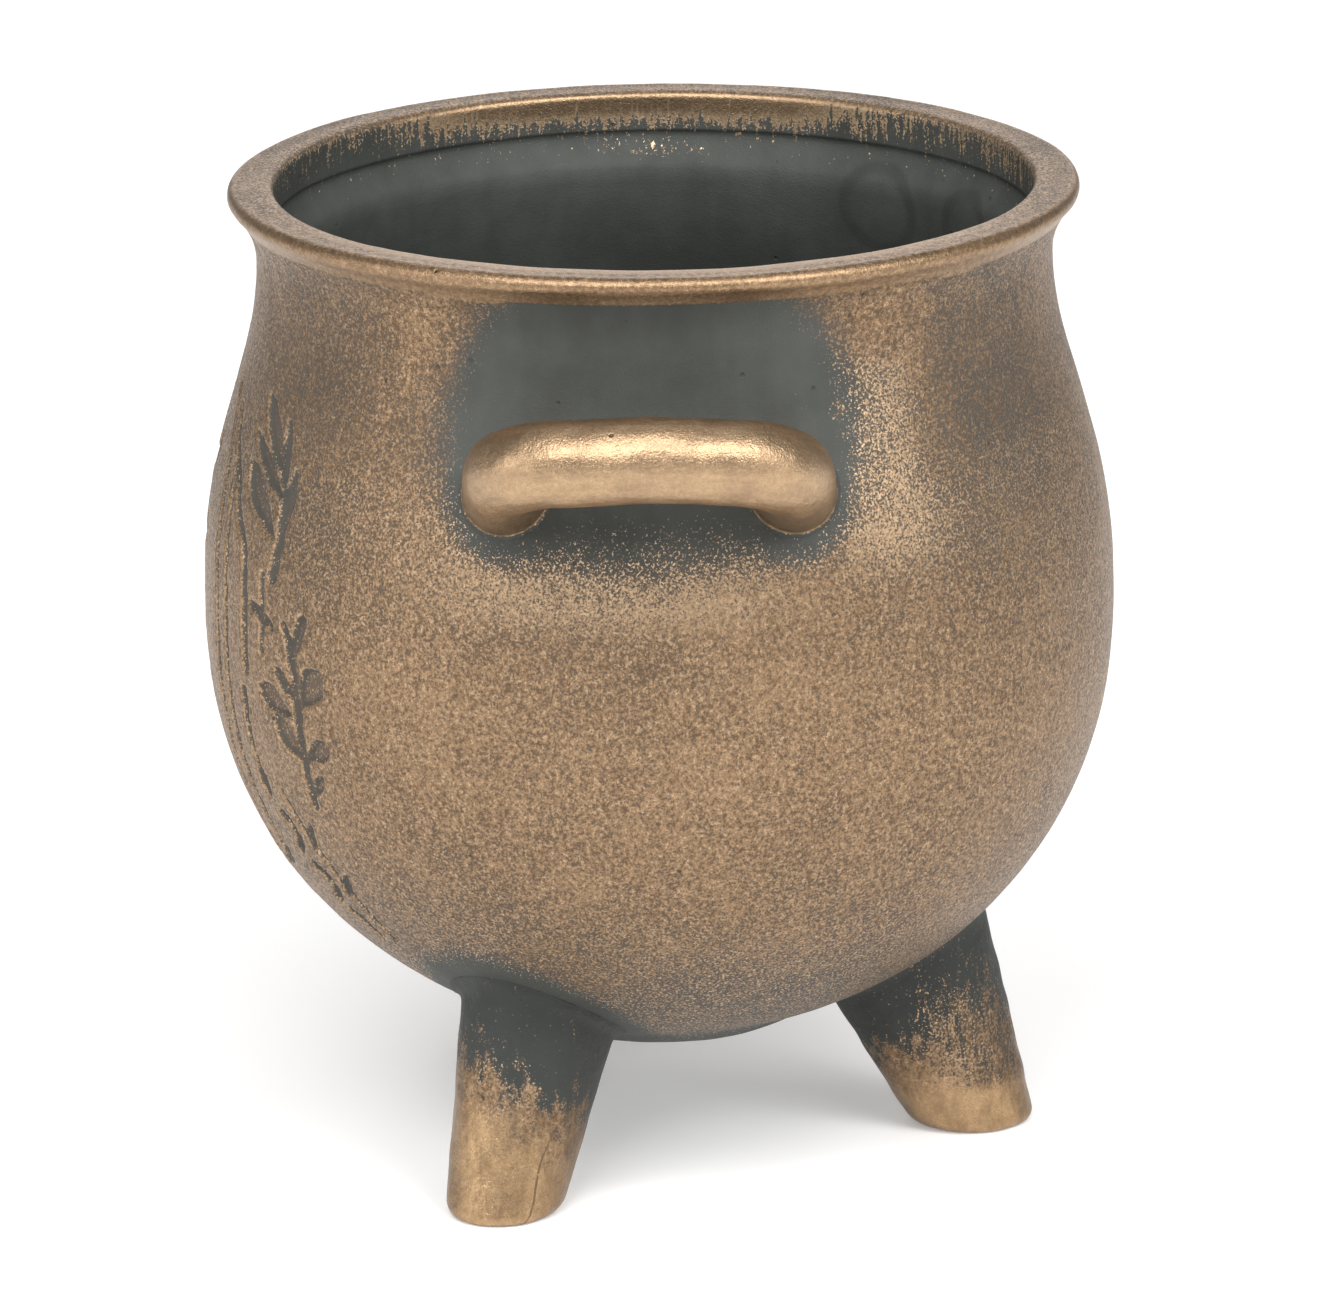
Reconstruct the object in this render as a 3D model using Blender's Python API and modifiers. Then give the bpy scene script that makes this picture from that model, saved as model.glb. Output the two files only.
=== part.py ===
"""Three-legged round planter pot with two lug handles.

Frame: metres, +Z up, origin on the floor under the pot's axis. -Y is the decorated front, the
handles stand out along +X and -X, two legs are at the front and one is at the back.
Each leg and each handle is a separate casting that is stuck to the pot, and keeps a small gap to
it, where the layer of slip or glue goes.
"""

import math

import bmesh
import bpy
from mathutils import Matrix, Vector

# The pot, in metres.
POT_HEIGHT = 0.1668  # floor to the top of the rim
BASE_HEIGHT = 0.0203  # floor to the underside of the bowl
BASE_RADIUS = 0.019  # flat underside of the bowl, and flat floor inside it
BELLY_HEIGHT = 0.094  # floor to the widest ring
BELLY_RADIUS = 0.0771
NECK_RADIUS = 0.0669
RIM_OVERHANG = 0.0046  # how far the lip stands out past the neck
LIP_WIDTH = 0.0081  # flat top of the rim, from its outermost ring to the mouth
LIP_ROUND = 0.0018  # outer edge of the lip
LIP_INNER_ROUND = 0.0012
FLARE_ARC = 0.014  # concave sweep from the neck out to the lip
WALL = 0.006  # measured horizontally
FLOOR_THICKNESS = 0.007
MOUTH_BAND_HEIGHT = 0.007  # trimmed band inside the mouth
MOUTH_BAND_STEP = 0.0005  # how far the band stands in from the wall below it
BOWL_POWER = 2.11  # 2 is an ellipse, more is squarer
SHOULDER_POWER = 1.27  # 1 is an even cosine, more keeps the belly full for longer

# The handles.
HANDLE_THICKNESS = 0.0146
HANDLE_SPACING = 0.0463  # centre to centre of a handle's two ends
HANDLE_DROP = 0.036  # top of the rim down to where the ends meet the wall
HANDLE_STANDOUT = 0.0203  # wall to the centreline at the middle of the grip, measured level
HANDLE_RISE = math.radians(27)  # upward tilt of the loop
HANDLE_CORNER = 0.0125  # centreline radius of the two bends
HANDLE_BOW = 0.0016  # how far the grip bows out at its middle
HANDLE_SINK = 0.008  # how far the untrimmed ends reach into the pot

# The legs.
FOOT_RADIUS_RADIAL = 0.0108  # half-width of the foot along the pot's radius
FOOT_RADIUS_SIDE = 0.0097  # the same, across it
FOOT_INSET = 0.0244  # the belly's widest ring in to the middle of each foot
FOOT_ROUND = 0.002
LEG_SPLAY = math.radians(22.3)
LEG_TAPER_RADIAL = 0.19  # half-width gained per unit of height, along the pot's radius
LEG_TAPER_SIDE = 0.095  # the same, across it
LEG_SINK = 0.010  # how far the untrimmed top goes on above the last of the leg that shows
LEG_ANGLES = {"leg_front_left": 210, "leg_front_right": 330, "leg_back": 90}

JOINT_GAP = 0.0003  # room for the slip that sticks a handle or a leg to the pot

# How finely round shapes are stepped.
TURN_STEPS = 64
BOWL_STEPS = 12
SHOULDER_STEPS = 9
ARC_STEPS = 5
LEG_SIDES = 32
LEG_SEARCH_STEP = 0.0005
HANDLE_ROUNDNESS = 6
HANDLE_BEND_STEPS = 8
HANDLE_GRIP_STEPS = 4


def clear_scene():
    for obj in list(bpy.data.objects):
        bpy.data.objects.remove(obj)


def collection(name):
    made = bpy.data.collections.new(name)
    bpy.context.scene.collection.children.link(made)
    return made


def material(name, colour, roughness, metallic):
    made = bpy.data.materials.new(name)
    made.use_nodes = True
    shader = made.node_tree.nodes["Principled BSDF"]
    shader.inputs["Base Color"].default_value = (*colour, 1)
    shader.inputs["Roughness"].default_value = roughness
    shader.inputs["Metallic"].default_value = metallic
    return made


def arc(centre, radius, start, end, steps):
    """Points along an arc about centre, with start and end in degrees."""
    points = []
    for i in range(steps + 1):
        angle = math.radians(start + (end - start) * i / steps)
        points.append((centre[0] + radius * math.cos(angle), centre[1] + radius * math.sin(angle)))
    return points


def neck_height():
    """Height of the narrowest ring, where the flare starts that just touches the lip's round edge."""
    reach = FLARE_ARC + LIP_ROUND
    across = reach - RIM_OVERHANG
    return POT_HEIGHT - LIP_ROUND - math.sqrt(reach**2 - across**2)


def bowl_radius(height, inset, bottom):
    """Radius of the bowl, at a height up to the neck, for a surface that far in from the outside."""
    belly = BELLY_RADIUS - inset
    neck = NECK_RADIUS - inset
    if height <= BELLY_HEIGHT:
        down = (BELLY_HEIGHT - height) / (BELLY_HEIGHT - bottom)
        return belly * (1 - min(1, down) ** BOWL_POWER) ** (1 / BOWL_POWER)
    up = (height - BELLY_HEIGHT) / (neck_height() - BELLY_HEIGHT)
    return neck + (belly - neck) * 0.5 * (1 + math.cos(math.pi * up**SHOULDER_POWER))


def bowl_side(inset, bottom):
    """The bowl's side as (radius, height), from the neck down to the edge of its flat bottom."""
    points = []
    for i in range(SHOULDER_STEPS):
        height = neck_height() + (BELLY_HEIGHT - neck_height()) * i / SHOULDER_STEPS
        points.append((bowl_radius(height, inset, bottom), height))
    for i in range(BOWL_STEPS + 1):
        angle = math.pi / 2 * i / BOWL_STEPS
        height = BELLY_HEIGHT - (BELLY_HEIGHT - bottom) * math.sin(angle)
        radius = bowl_radius(height, inset, bottom)
        if radius > BASE_RADIUS * 1.2:
            points.append((radius, height))
    points.append((BASE_RADIUS, bottom))
    return points


def lip_outside(grow=0):
    """The lip's outer edge and the flare, from the rim's flat top down to the neck, moved out by grow."""
    lip = (NECK_RADIUS + RIM_OVERHANG - LIP_ROUND, POT_HEIGHT - LIP_ROUND)
    flare = (NECK_RADIUS + FLARE_ARC, neck_height())
    touch = math.degrees(math.atan2(flare[1] - lip[1], flare[0] - lip[0]))
    points = arc(lip, LIP_ROUND + grow, 90, touch, ARC_STEPS)
    points += arc(flare, FLARE_ARC - grow, 180 + touch, 180, ARC_STEPS)[1:-1]
    return points


def pot_profile():
    """The pot's section as (radius, height): inside floor, inner wall, rim, outer wall, underside."""
    floor = BASE_HEIGHT + FLOOR_THICKNESS
    mouth = NECK_RADIUS + RIM_OVERHANG - LIP_WIDTH
    band_bottom = POT_HEIGHT - MOUTH_BAND_HEIGHT
    edge = (mouth + LIP_INNER_ROUND, POT_HEIGHT - LIP_INNER_ROUND)
    inside = list(reversed(bowl_side(WALL, floor)))
    inside.append((mouth + MOUTH_BAND_STEP, band_bottom - MOUTH_BAND_STEP))
    inside.append((mouth, band_bottom))
    inside += arc(edge, LIP_INNER_ROUND, 180, 90, ARC_STEPS // 2)
    outside = lip_outside() + bowl_side(0, BASE_HEIGHT)
    return [(0, floor)] + inside + outside + [(0, BASE_HEIGHT)]


def turned(name, profile, into):
    """A solid turned about Z from a (radius, height) profile, which runs down its outer side."""
    mesh = bpy.data.meshes.new(name)
    verts = [(radius, 0, height) for radius, height in profile]
    mesh.from_pydata(verts, [(i, i + 1) for i in range(len(verts) - 1)], [])
    obj = bpy.data.objects.new(name, mesh)
    into.objects.link(obj)
    screw = obj.modifiers.new("turn", "SCREW")
    screw.steps = TURN_STEPS
    screw.render_steps = TURN_STEPS
    screw.use_merge_vertices = True
    screw.merge_threshold = 0.00001
    screw.use_smooth_shade = True
    return obj


def joint_cutter(into):
    """The pot's outer shape with its inside filled, grown by the joint gap. It trims handles and legs."""
    side = bowl_side(0, BASE_HEIGHT)
    grown = lip_outside(JOINT_GAP)
    for i in range(len(side) - 1):
        before = Vector(side[max(i - 1, 0)])
        along = (Vector(side[i + 1]) - before).normalized()
        grown.append((side[i][0] - along.y * JOINT_GAP, side[i][1] + along.x * JOINT_GAP))
    top = POT_HEIGHT + JOINT_GAP
    bottom = BASE_HEIGHT - JOINT_GAP
    cutter = turned("joint_cutter", [(0, top)] + grown + [(BASE_RADIUS, bottom), (0, bottom)], into)
    cutter.hide_render = True
    cutter.display_type = "WIRE"
    return cutter


def trim(obj, cutter):
    cut = obj.modifiers.new("trim_to_pot", "BOOLEAN")
    cut.operation = "DIFFERENCE"
    cut.solver = "EXACT"
    cut.object = cutter


def grip_centreline():
    """A handle's centreline, flat: x out from the wall, y across, from one buried end to the other."""
    half = HANDLE_SPACING / 2
    front = HANDLE_STANDOUT / math.cos(HANDLE_RISE) - HANDLE_BOW
    corner = (front - HANDLE_CORNER, half - HANDLE_CORNER)
    points = [(-HANDLE_SINK, half)] + arc(corner, HANDLE_CORNER, 90, 0, HANDLE_BEND_STEPS)
    for i in range(1, HANDLE_GRIP_STEPS + 1):
        share = i / HANDLE_GRIP_STEPS
        bow = HANDLE_BOW * math.sin(math.pi / 2 * share)
        points.append((front + bow, corner[1] * (1 - share)))
    return points + [(x, -y) for x, y in reversed(points[:-1])]


def handle(name, facing, cutter, paint, into):
    """One lug handle: a round bar bent to a U, tilted up and trimmed to the pot. facing is in degrees."""
    points = grip_centreline()
    curve = bpy.data.curves.new(name, "CURVE")
    curve.dimensions = "3D"
    curve.bevel_depth = HANDLE_THICKNESS / 2
    curve.bevel_resolution = HANDLE_ROUNDNESS
    curve.use_fill_caps = True
    spline = curve.splines.new("POLY")
    spline.points.add(len(points) - 1)
    for point, place in zip(spline.points, points):
        point.co = (*place, 0, 1)
    bar = bpy.data.objects.new(name + "_bar", curve)
    into.objects.link(bar)
    root_height = POT_HEIGHT - HANDLE_DROP
    wall = bowl_radius(root_height, 0, BASE_HEIGHT)
    root = math.sqrt(wall**2 - (HANDLE_SPACING / 2) ** 2)
    turn = Matrix.Rotation(math.radians(facing), 4, "Z")
    tilt = Matrix.Rotation(-HANDLE_RISE, 4, "Y")
    bar.matrix_world = turn @ Matrix.Translation((root, 0, root_height)) @ tilt
    bpy.context.view_layer.update()
    graph = bpy.context.evaluated_depsgraph_get()
    mesh = bpy.data.meshes.new_from_object(bar.evaluated_get(graph))
    mesh.name = name
    welded = bmesh.new()
    welded.from_mesh(mesh)
    bmesh.ops.remove_doubles(welded, verts=welded.verts, dist=0.00001)
    welded.to_mesh(mesh)
    welded.free()
    obj = bpy.data.objects.new(name, mesh)
    obj.matrix_world = bar.matrix_world
    into.objects.link(obj)
    bpy.data.objects.remove(bar)
    mesh.materials.clear()
    mesh.materials.append(paint)
    trim(obj, cutter)
    return obj


def leg_top():
    """Height of a leg's untrimmed top: where its outer edge goes into the bowl, and LEG_SINK more."""
    foot = BELLY_RADIUS - FOOT_INSET + FOOT_RADIUS_RADIAL
    height = BASE_HEIGHT
    while foot + (LEG_TAPER_RADIAL - math.tan(LEG_SPLAY)) * height > bowl_radius(height, 0, BASE_HEIGHT):
        height += LEG_SEARCH_STEP
    return height + LEG_SINK


def leg(name, angle, cutter, paint, into):
    """One splayed leg, with level oval rings that grow upwards and a rounded edge under the foot."""
    rise = leg_top()
    shape = bmesh.new()
    bmesh.ops.create_cone(
        shape,
        cap_ends=True,
        segments=LEG_SIDES,
        radius1=1,
        radius2=1,
        depth=rise,
        matrix=Matrix.Translation((0, 0, rise / 2)),
    )
    for vert in shape.verts:
        height = vert.co.z
        vert.co.x *= FOOT_RADIUS_RADIAL + LEG_TAPER_RADIAL * height
        vert.co.y *= FOOT_RADIUS_SIDE + LEG_TAPER_SIDE * height
        vert.co.x -= height * math.tan(LEG_SPLAY)
    foot_edges = [edge for edge in shape.edges if max(v.co.z for v in edge.verts) < rise / 2]
    bmesh.ops.bevel(
        shape,
        geom=foot_edges,
        offset=FOOT_ROUND,
        offset_type="OFFSET",
        segments=4,
        profile=0.5,
        affect="EDGES",
    )
    mesh = bpy.data.meshes.new(name)
    shape.to_mesh(mesh)
    shape.free()
    mesh.materials.append(paint)
    obj = bpy.data.objects.new(name, mesh)
    into.objects.link(obj)
    turn = math.radians(angle)
    foot_circle = BELLY_RADIUS - FOOT_INSET
    obj.location = (foot_circle * math.cos(turn), foot_circle * math.sin(turn), 0)
    obj.rotation_euler = (0, 0, turn)
    trim(obj, cutter)
    return obj


def shade(obj):
    obj.data.shade_smooth()
    obj.data.set_sharp_from_angle(angle=math.radians(40))


def build():
    clear_scene()
    parts = collection("planter_pot")
    cutters = collection("cutters")
    bronze = material("aged_bronze_paint", (0.24, 0.165, 0.09), 0.45, 0.6)
    rubbed = material("rubbed_bronze_paint", (0.36, 0.24, 0.12), 0.35, 0.75)
    cutter = joint_cutter(cutters)
    pot = turned("pot_body", pot_profile(), parts)
    pot.data.materials.append(bronze)
    shade(handle("handle_right", 0, cutter, rubbed, parts))
    shade(handle("handle_left", 180, cutter, rubbed, parts))
    for name, angle in LEG_ANGLES.items():
        shade(leg(name, angle, cutter, bronze, parts))


build()
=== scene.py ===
import math

import bpy
import numpy as np
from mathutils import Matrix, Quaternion, Vector


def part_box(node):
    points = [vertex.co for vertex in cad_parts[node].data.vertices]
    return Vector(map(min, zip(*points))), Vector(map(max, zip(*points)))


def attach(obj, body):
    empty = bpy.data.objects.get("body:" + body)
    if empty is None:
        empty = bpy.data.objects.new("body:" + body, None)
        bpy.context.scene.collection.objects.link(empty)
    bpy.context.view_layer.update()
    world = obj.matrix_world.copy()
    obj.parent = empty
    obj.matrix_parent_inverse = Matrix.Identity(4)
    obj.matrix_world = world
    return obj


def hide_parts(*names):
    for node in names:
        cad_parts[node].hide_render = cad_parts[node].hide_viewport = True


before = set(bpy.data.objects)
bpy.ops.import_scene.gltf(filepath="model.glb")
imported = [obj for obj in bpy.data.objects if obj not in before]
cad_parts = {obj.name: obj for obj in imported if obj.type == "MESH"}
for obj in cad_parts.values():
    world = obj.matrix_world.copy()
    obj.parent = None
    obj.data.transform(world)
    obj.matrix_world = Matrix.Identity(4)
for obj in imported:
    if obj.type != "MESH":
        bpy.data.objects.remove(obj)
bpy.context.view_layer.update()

print("frame loaded:", ", ".join(sorted(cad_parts)))


# small helpers: whole arrays in, whole arrays out

def smooth(value, low, high):
    # 0 below low, 1 above high, and the cubic 3t^2 - 2t^3 in between
    t = np.clip((value - low) / (high - low), 0, 1)
    return t * t * (3 - 2 * t)


def waves(points, size, seed, count=7):
    # sum of sine waves in seeded directions, each about one size long, scaled to about -1..1
    rng = np.random.default_rng(seed)
    way = rng.normal(size=(count, 3))
    way /= np.linalg.norm(way, axis=1)[:, None]
    way *= (2 * np.pi / size) * rng.uniform(0.6, 1.5, size=(count, 1))
    start = rng.uniform(0, 2 * np.pi, size=count)
    return np.sin(points @ way.T + start).sum(axis=-1) / math.sqrt(count) / 1.4


def gap(value, centre):
    # angle from a centre, in degrees, brought into -180..180
    return (value - centre + 180) % 360 - 180


def closedShell(name, rings, poles, fields):
    # rings[row, column] of points joined all round, with a fan to a pole at each end; fields are per-point arrays
    rows, columns = rings.shape[:2]
    points = np.concatenate([rings.reshape(-1, 3), np.array(poles)])
    here = np.arange(rows * columns).reshape(rows, columns)
    beside = np.roll(here, -1, axis=1)
    quads = np.stack([here[:-1], beside[:-1], beside[1:], here[1:]], axis=-1).reshape(-1, 4)
    first = np.stack([beside[0], here[0], np.full(columns, rows * columns)], axis=-1)
    last = np.stack([here[-1], beside[-1], np.full(columns, rows * columns + 1)], axis=-1)
    a, b, c = points[quads[:, 0]], points[quads[:, 1]], points[quads[:, 2]]
    volume = np.einsum("ij,ij->", a, np.cross(b, c))
    if volume < 0:
        quads, first, last = quads[:, ::-1], first[:, ::-1], last[:, ::-1]
    mesh = bpy.data.meshes.new(name)
    mesh.from_pydata(points.tolist(), [], quads.tolist() + first.tolist() + last.tolist())
    for label, values in fields.items():
        kind = "FLOAT" if values.ndim == 2 else "FLOAT_VECTOR"
        flat = values.reshape(rows * columns, -1)
        ends = np.stack([values[0].reshape(columns, -1).mean(axis=0), values[-1].reshape(columns, -1).mean(axis=0)])
        layer = mesh.attributes.new(label, kind, "POINT")
        slot = "value" if kind == "FLOAT" else "vector"
        layer.data.foreach_set(slot, np.concatenate([flat, ends]).astype(np.float32).ravel())
    mesh.shade_smooth()
    obj = bpy.data.objects.new(name, mesh)
    bpy.context.scene.collection.objects.link(obj)
    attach(obj, "root")
    print(f"{name}: {len(points)} points, {2 * len(quads) + 2 * columns} triangles")
    return obj


# the pot

pot = {
    "bellyHeight": 0.094,
    "neckRadius": 0.0669,
    "rimOverhang": 0.0046,
    "lipWidth": 0.0081,
    "lipRound": 0.0018,
    "mouthRound": 0.0014,
    "flareArc": 0.014,
    "wall": 0.006,
    "floor": 0.007,
    "bandHeight": 0.007,
    "bandStep": 0.0005,
    "bowlPower": 2.11,
    "shoulderPower": 1.27,
    "flatBase": (0.017, 0.030),  # radii between which the bowl levels out underneath
    "skin": 0.00022,  # the wall lies this far inside its nominal surface, so that uneven clay stays within it
    "unevenness": 0.00016,
    "frontAngle": -90,
    "frontWidth": 46,  # degrees each side of the front where the mesh is fine enough to carve
    "fineStep": 0.00062,
    "carveDepth": 0.00100,
    "edgeBead": 0.00008,
}
potLow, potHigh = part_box("pot_body")
potHeight, potBase, bellyRadius = potHigh[2], potLow[2], potHigh[0]
lipReach = pot["flareArc"] + pot["lipRound"]
neckHeight = potHeight - pot["lipRound"] - math.sqrt(lipReach**2 - (lipReach - pot["rimOverhang"]) ** 2)
mouthRadius = pot["neckRadius"] + pot["rimOverhang"] - pot["lipWidth"]


def bowlRadius(height, inset=0.0, bottom=potBase):
    # under the belly a squared-off ellipse, above it half a cosine drawn out towards the neck
    belly, neck = bellyRadius - inset, pot["neckRadius"] - inset
    down = np.clip((pot["bellyHeight"] - height) / (pot["bellyHeight"] - bottom), 0, 1)
    up = np.clip((height - pot["bellyHeight"]) / (neckHeight - pot["bellyHeight"]), 0, 1)
    lower = belly * (1 - down ** pot["bowlPower"]) ** (1 / pot["bowlPower"])
    upper = neck + (belly - neck) * 0.5 * (1 + np.cos(np.pi * up ** pot["shoulderPower"]))
    return np.where(height <= pot["bellyHeight"], lower, upper)


def bowlSide(inset, bottom):
    # (radius, height) from the middle of the bottom up to the neck, levelled near the axis
    turn = np.linspace(np.pi / 2, 0, 500)
    low = pot["bellyHeight"] - (pot["bellyHeight"] - bottom) * np.sin(turn)
    high = np.linspace(pot["bellyHeight"], neckHeight, 300)[1:]
    height = np.concatenate([low, high])
    radius = bowlRadius(height, inset, bottom)
    height = bottom + (height - bottom) * smooth(radius, *pot["flatBase"])
    return np.stack([radius, height], axis=-1)


def arc(centre, radius, start, end, count=60):
    # points along a circular arc, angles in degrees
    turn = np.radians(np.linspace(start, end, count))
    return np.stack([centre[0] + radius * np.cos(turn), centre[1] + radius * np.sin(turn)], axis=-1)


def potSection():
    # the wall's section as one run: inside floor, inner wall, trimmed band, rim, lip, flare, bowl, underside;
    # the lip and the flare are two arcs that touch, and the throat is a sine curve between wall and band
    lip = (pot["neckRadius"] + pot["rimOverhang"] - pot["lipRound"], potHeight - pot["lipRound"])
    mouth = (mouthRadius + pot["mouthRound"], potHeight - pot["mouthRound"])
    flare = (pot["neckRadius"] + pot["flareArc"], neckHeight)
    touch = math.degrees(math.atan2(flare[1] - lip[1], flare[0] - lip[0]))
    inner = bowlSide(pot["wall"], potBase + pot["floor"])
    bandFoot = potHeight - pot["bandHeight"]
    lean = np.linspace(0, 1, 40)[1:]
    throatTop = np.array([mouthRadius + pot["bandStep"], bandFoot - 0.0004])
    throat = inner[-1] + (throatTop - inner[-1]) * np.stack([np.sin(lean * np.pi / 2) ** 1.2, lean], axis=-1)
    ledge = arc((mouthRadius + pot["bandStep"], bandFoot + 0.0001), pot["bandStep"], 270, 180, 12)
    rimTop = np.stack([np.linspace(mouth[0], lip[0], 40), np.full(40, potHeight)], axis=-1)[1:-1]
    across = (rimTop[:, 0] - mouth[0]) / (lip[0] - mouth[0])
    rimTop[:, 1] -= 0.00025 * np.sin(np.pi * across) * (across - 0.2)  # the flat was wiped by hand, and sinks a little
    run = [inner, throat, ledge, arc(mouth, pot["mouthRound"], 180, 90), rimTop,
           arc(lip, pot["lipRound"], 90, touch), arc(flare, pot["flareArc"], 180 + touch, 180)[1:-1],
           bowlSide(0.0, potBase)[::-1]]
    spacing = [0.0028, 0.0007, 0.0003, 0.0004, 0.0007, 0.00034, 0.0007, 0.0012]
    section = np.concatenate(run)
    step = np.concatenate([np.full(len(piece), wanted) for piece, wanted in zip(run, spacing)])
    inward = sum(len(piece) for piece in run[:5]) - 20  # the outside starts half way over the rim's top
    outside = np.arange(len(section)) >= inward
    carved = smooth(section[:, 1], 0.040, 0.048) * (1 - smooth(section[:, 1], 0.139, 0.146))
    below = np.arange(len(section)) >= len(section) - len(run[-1])
    underneath = 0.0016 * (1 - smooth(section[:, 1], 0.022, 0.036))
    step = np.where(below, step + (pot["fineStep"] - step) * carved + underneath, step)
    step = np.convolve(np.pad(step, 12, mode="edge"), np.ones(25) / 25, mode="valid")
    return section, step, outside


def evenRun(values, step, track):
    # points spaced so that each step is about as long as asked for there: even steps of the sum of length / wanted
    length = np.linalg.norm(np.diff(values, axis=0), axis=1)
    cost = np.concatenate([[0], np.cumsum(length / (0.5 * (step[1:] + step[:-1])))])
    rows = np.linspace(0, cost[-1], int(round(cost[-1])) + 1)[1:-1]
    columns = [np.interp(rows, cost, values[:, i]) for i in range(values.shape[1])]
    return np.stack(columns, axis=-1), np.interp(rows, cost, track)


def turnAngles():
    # azimuths round the pot in degrees, close together over the carved front and wider elsewhere
    angle = np.linspace(-180, 180, 7201)
    front = 1 - smooth(np.abs(gap(angle, pot["frontAngle"])), pot["frontWidth"], pot["frontWidth"] + 7)
    step = 2.6 + (0.5 - 2.6) * front
    cost = np.concatenate([[0], np.cumsum(np.diff(angle) / step[1:])])
    return np.interp(np.linspace(0, cost[-1], int(cost[-1]) + 1)[:-1], cost, angle)


# The carving is a hedgerow of stems: across is millimetres round from the middle of the front, up is height.
stems = [
    # points as (across, up), then half-widths at the start and the end
    ([(18, 133), (24, 124), (26.5, 112), (27.5, 98), (27.5, 82), (28.5, 68), (31, 56)], 0.55, 0.95),
    ([(12, 136), (18.5, 126), (21.5, 112), (22.5, 96), (22.5, 80), (22.5, 66), (24.5, 54)], 0.5, 0.95),
    ([(21.5, 127.5), (26.5, 122.5), (29.5, 117.0), (34.2, 112.5), (35.6, 103), (35.8, 91)], 0.75, 0.95),
    ([(34.3, 88), (34.2, 80), (36.0, 72)], 1.0, 0.45),
    ([(44.4, 109.5), (45.6, 116), (44.3, 124.5)], 1.25, 0.6),
    ([(52.2, 71), (52.0, 79), (51.8, 85), (51.9, 91), (50.8, 98)], 0.8, 1.15),
    ([(50.8, 98), (49.6, 100.4), (48.2, 102.6)], 0.9, 0.6),
    ([(50.9, 98), (52.1, 101), (53.4, 104.2)], 1.0, 1.1),
    ([(41.2, 109.4), (42.0, 102.6), (41.6, 96.0)], 0.55, 0.6),
    ([(37.6, 103.4), (42.0, 102.6), (45.2, 101.0)], 0.85, 0.6),
    ([(38.0, 66.8), (41.0, 65.6), (42.2, 62.6), (40.2, 60.6)], 0.9, 1.1),
    ([(42.8, 58.0), (45.8, 57.0), (46.6, 54.0), (44.6, 52.2)], 0.9, 1.1),
    ([(47.0, 50.0), (50.0, 48.6), (50.8, 45.8)], 0.8, 0.9),
    ([(40.8, 73.5), (44.6, 67.6), (48.0, 62.2), (51.2, 56.6), (54.2, 50.6), (56.4, 45.6)], 0.45, 0.5),
    ([(6, 68), (7.5, 60), (13, 55), (20, 53.5), (27, 54.5)], 0.5, 0.7),
    ([(0, 132), (0.3, 118), (-0.4, 100), (0.2, 84), (0, 62)], 0.5, 0.8),
]
leaves = [
    # base and tip as (across, up), widest half-width, how far along the widest place is
    ((44.2, 124), (31.5, 137.5), 2.0, 0.62),
    ((44.0, 124), (41.0, 135), 1.2, 0.5),
    ((45.6, 117), (46.6, 128), 1.5, 0.45),
    ((44.4, 115), (30.2, 126), 2.5, 0.62),
    ((44.2, 122), (29.4, 131), 1.4, 0.5),
    ((52.0, 88.6), (57.8, 96.4), 2.8, 0.66),
    ((51.9, 89.5), (45.4, 94.8), 1.2, 0.55),
    ((51.9, 86), (40.6, 90.4), 2.3, 0.70),
    ((51.9, 79.2), (44.8, 86), 2.2, 0.6),
    ((52.0, 79.6), (58.8, 83.6), 1.9, 0.68),
    ((52.1, 73), (56.0, 77.6), 1.2, 0.6),
    ((36.0, 68.4), (35.4, 75.0), 1.7, 0.5),
    ((46.0, 61.5), (48.6, 67.6), 1.1, 0.5),
    ((49.6, 53.4), (53.6, 58.6), 1.1, 0.5),
    ((41.3, 104.2), (41.5, 100.4), 1.3, 0.5),
    ((0, 118), (7.2, 125), 2.2, 0.6),
    ((0, 104), (8.2, 111.5), 2.3, 0.6),
    ((0, 90), (8.0, 97), 2.2, 0.6),
    ((0, 76), (7.0, 82.5), 1.9, 0.6),
    ((0, 131), (0, 141), 1.9, 0.5),
    ((27, 54.5), (32.5, 58.5), 1.4, 0.5),
    ((20, 53.5), (23.5, 48.5), 1.1, 0.5),
]


def strokeDistance(across, up, points, startWidth, endWidth):
    # distance to a bent line less its half-width, which changes evenly from one end to the other
    points = np.array(points, float)
    finer = np.linspace(0, len(points) - 1, 6 * len(points))
    smoothed = np.stack([np.interp(finer, np.arange(len(points)), points[:, i]) for i in range(2)], axis=-1)
    kernel = np.array([1, 3, 4, 3, 1]) / 12
    padded = np.pad(smoothed, ((2, 2), (0, 0)), mode="edge")
    smoothed = np.stack([np.convolve(padded[:, i], kernel, mode="valid") for i in range(2)], axis=-1)
    count = len(smoothed) - 1
    best = np.full(across.shape, 99.0)
    for i in range(count):
        start, end = smoothed[i], smoothed[i + 1]
        way = end - start
        t = np.clip(((across - start[0]) * way[0] + (up - start[1]) * way[1]) / (way @ way + 1e-9), 0, 1)
        reach = np.hypot(across - start[0] - t * way[0], up - start[1] - t * way[1])
        best = np.minimum(best, reach - (startWidth + (endWidth - startWidth) * (i + t) / count))
    return best


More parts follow.
